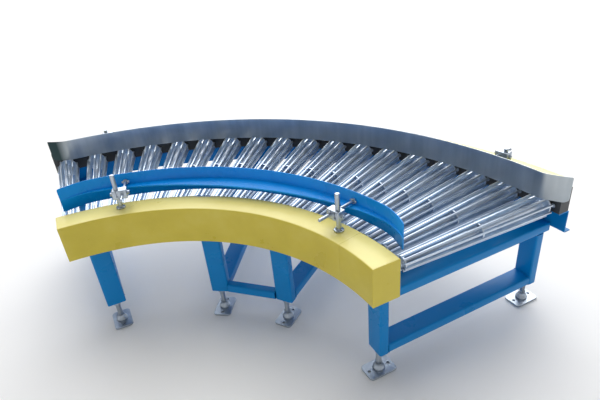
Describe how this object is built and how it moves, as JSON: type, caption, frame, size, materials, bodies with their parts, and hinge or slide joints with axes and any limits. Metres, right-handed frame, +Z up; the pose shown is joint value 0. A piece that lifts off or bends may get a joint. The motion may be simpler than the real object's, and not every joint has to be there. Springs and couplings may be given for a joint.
{
  "type": "gravity roller conveyor",
  "caption": "Ninety-degree curved gravity conveyor with tapered cage rollers, yellow side guards, two curved guide bands and tube stands on levelling feet.",
  "frame": {"origin": "centre of the footprint's bounding box, on the floor under the pads", "axes": "+Z up, +X across both ends of the curve, -Y towards the hollow side of the curve"},
  "size_m": [2.5038, 1.189, 0.732],
  "materials": {
    "blue_paint": "semi-gloss",
    "yellow_paint": "semi-gloss",
    "galvanised_steel": "bright galvanised",
    "satin_steel": "satin",
    "plated_steel": "zinc plated",
    "black_plastic": "matt"
  },
  "bodies": {
    "frame": {"stand_a_inner_leg": "blue_paint", "stand_a_outer_leg": "blue_paint", "stand_a_top_beam": "blue_paint", "stand_a_bottom_beam": "blue_paint", "stand_b_inner_leg": "blue_paint", "stand_b_outer_leg": "blue_paint", "stand_b_top_beam": "blue_paint", "stand_b_bottom_beam": "blue_paint", "stand_c_inner_leg": "blue_paint", "stand_c_outer_leg": "blue_paint", "stand_c_top_beam": "blue_paint", "stand_c_bottom_beam": "blue_paint", "stand_d_inner_leg": "blue_paint", "stand_d_outer_leg": "blue_paint", "stand_d_top_beam": "blue_paint", "stand_d_bottom_beam": "blue_paint", "tie_beam": "blue_paint", "inner_channel": "blue_paint", "outer_channel": "blue_paint", "inner_bearing_rail": "black_plastic", "outer_bearing_rail": "black_plastic", "inner_guard": "yellow_paint", "outer_guard": "yellow_paint", "inner_post_right": "plated_steel", "inner_post_left": "plated_steel", "outer_post_right": "plated_steel", "outer_post_left": "plated_steel"},
    "inner_guide": {"inner_guide_band": "blue_paint", "inner_clamp_right": "plated_steel", "inner_clamp_left": "plated_steel"},
    "outer_guide": {"outer_guide_band": "satin_steel", "outer_clamp_right": "plated_steel", "outer_clamp_left": "plated_steel"},
    "roller_01": {"roller_01": "galvanised_steel"},
    "roller_02": {"roller_02": "galvanised_steel"},
    "roller_03": {"roller_03": "galvanised_steel"},
    "roller_04": {"roller_04": "galvanised_steel"},
    "roller_05": {"roller_05": "galvanised_steel"},
    "roller_06": {"roller_06": "galvanised_steel"},
    "roller_07": {"roller_07": "galvanised_steel"},
    "roller_08": {"roller_08": "galvanised_steel"},
    "roller_09": {"roller_09": "galvanised_steel"},
    "roller_10": {"roller_10": "galvanised_steel"},
    "roller_11": {"roller_11": "galvanised_steel"},
    "roller_12": {"roller_12": "galvanised_steel"},
    "roller_13": {"roller_13": "galvanised_steel"},
    "roller_14": {"roller_14": "galvanised_steel"},
    "roller_15": {"roller_15": "galvanised_steel"},
    "roller_16": {"roller_16": "galvanised_steel"},
    "roller_17": {"roller_17": "galvanised_steel"},
    "roller_18": {"roller_18": "galvanised_steel"},
    "foot_a_inner": {"foot_a_inner": "plated_steel"},
    "foot_a_outer": {"foot_a_outer": "plated_steel"},
    "foot_b_inner": {"foot_b_inner": "plated_steel"},
    "foot_b_outer": {"foot_b_outer": "plated_steel"},
    "foot_c_inner": {"foot_c_inner": "plated_steel"},
    "foot_c_outer": {"foot_c_outer": "plated_steel"},
    "foot_d_inner": {"foot_d_inner": "plated_steel"},
    "foot_d_outer": {"foot_d_outer": "plated_steel"}
  },
  "joints": [
    {"name": "roller_01_spin", "type": "hinge", "parent": "frame", "child": "roller_01", "pos_m": [0.89685, -0.21679, 0.51767], "axis": [0.6753, 0.7369, -0.0311], "continuous": true},
    {"name": "roller_02_spin", "type": "hinge", "parent": "frame", "child": "roller_02", "pos_m": [0.80813, -0.14234, 0.51767], "axis": [0.6085, 0.793, -0.0311], "continuous": true},
    {"name": "roller_03_spin", "type": "hinge", "parent": "frame", "child": "roller_03", "pos_m": [0.71327, -0.07592, 0.51767], "axis": [0.537, 0.843, -0.0311], "continuous": true},
    {"name": "roller_04_spin", "type": "hinge", "parent": "frame", "child": "roller_04", "pos_m": [0.61297, -0.01801, 0.51767], "axis": [0.4615, 0.8866, -0.0311], "continuous": true},
    {"name": "roller_05_spin", "type": "hinge", "parent": "frame", "child": "roller_05", "pos_m": [0.50801, 0.03093, 0.51767], "axis": [0.3825, 0.9234, -0.0311], "continuous": true},
    {"name": "roller_06_spin", "type": "hinge", "parent": "frame", "child": "roller_06", "pos_m": [0.39919, 0.07054, 0.51767], "axis": [0.3006, 0.9533, -0.0311], "continuous": true},
    {"name": "roller_07_spin", "type": "hinge", "parent": "frame", "child": "roller_07", "pos_m": [0.28732, 0.10051, 0.51767], "axis": [0.2163, 0.9758, -0.0311], "continuous": true},
    {"name": "roller_08_spin", "type": "hinge", "parent": "frame", "child": "roller_08", "pos_m": [0.17327, 0.12062, 0.51767], "axis": [0.1305, 0.991, -0.0311], "continuous": true},
    {"name": "roller_09_spin", "type": "hinge", "parent": "frame", "child": "roller_09", "pos_m": [0.0579, 0.13072, 0.51767], "axis": [0.0436, 0.9986, -0.0311], "continuous": true},
    {"name": "roller_10_spin", "type": "hinge", "parent": "frame", "child": "roller_10", "pos_m": [-0.0579, 0.13072, 0.51767], "axis": [-0.0436, 0.9986, -0.0311], "continuous": true},
    {"name": "roller_11_spin", "type": "hinge", "parent": "frame", "child": "roller_11", "pos_m": [-0.17327, 0.12062, 0.51767], "axis": [-0.1305, 0.991, -0.0311], "continuous": true},
    {"name": "roller_12_spin", "type": "hinge", "parent": "frame", "child": "roller_12", "pos_m": [-0.28732, 0.10051, 0.51767], "axis": [-0.2163, 0.9758, -0.0311], "continuous": true},
    {"name": "roller_13_spin", "type": "hinge", "parent": "frame", "child": "roller_13", "pos_m": [-0.39919, 0.07054, 0.51767], "axis": [-0.3006, 0.9533, -0.0311], "continuous": true},
    {"name": "roller_14_spin", "type": "hinge", "parent": "frame", "child": "roller_14", "pos_m": [-0.50801, 0.03093, 0.51767], "axis": [-0.3825, 0.9234, -0.0311], "continuous": true},
    {"name": "roller_15_spin", "type": "hinge", "parent": "frame", "child": "roller_15", "pos_m": [-0.61297, -0.01801, 0.51767], "axis": [-0.4615, 0.8866, -0.0311], "continuous": true},
    {"name": "roller_16_spin", "type": "hinge", "parent": "frame", "child": "roller_16", "pos_m": [-0.71327, -0.07592, 0.51767], "axis": [-0.537, 0.843, -0.0311], "continuous": true},
    {"name": "roller_17_spin", "type": "hinge", "parent": "frame", "child": "roller_17", "pos_m": [-0.80813, -0.14234, 0.51767], "axis": [-0.6085, 0.793, -0.0311], "continuous": true},
    {"name": "roller_18_spin", "type": "hinge", "parent": "frame", "child": "roller_18", "pos_m": [-0.89685, -0.21679, 0.51767], "axis": [-0.6753, 0.7369, -0.0311], "continuous": true},
    {"name": "foot_a_inner_level", "type": "slide", "parent": "frame", "child": "foot_a_inner", "axis": [0, 0, 1], "range_m": [-0.02, 0.03]},
    {"name": "foot_a_outer_level", "type": "slide", "parent": "frame", "child": "foot_a_outer", "axis": [0, 0, 1], "range_m": [-0.02, 0.03]},
    {"name": "foot_b_inner_level", "type": "slide", "parent": "frame", "child": "foot_b_inner", "axis": [0, 0, 1], "range_m": [-0.02, 0.03]},
    {"name": "foot_b_outer_level", "type": "slide", "parent": "frame", "child": "foot_b_outer", "axis": [0, 0, 1], "range_m": [-0.02, 0.03]},
    {"name": "foot_c_inner_level", "type": "slide", "parent": "frame", "child": "foot_c_inner", "axis": [0, 0, 1], "range_m": [-0.02, 0.03]},
    {"name": "foot_c_outer_level", "type": "slide", "parent": "frame", "child": "foot_c_outer", "axis": [0, 0, 1], "range_m": [-0.02, 0.03]},
    {"name": "foot_d_inner_level", "type": "slide", "parent": "frame", "child": "foot_d_inner", "axis": [0, 0, 1], "range_m": [-0.02, 0.03]},
    {"name": "foot_d_outer_level", "type": "slide", "parent": "frame", "child": "foot_d_outer", "axis": [0, 0, 1], "range_m": [-0.02, 0.03]},
    {"name": "inner_guide_height", "type": "slide", "parent": "frame", "child": "inner_guide", "axis": [0, 0, 1], "range_m": [-0.018, 0.05]},
    {"name": "outer_guide_height", "type": "slide", "parent": "frame", "child": "outer_guide", "axis": [0, 0, 1], "range_m": [0, 0.018]}
  ]
}
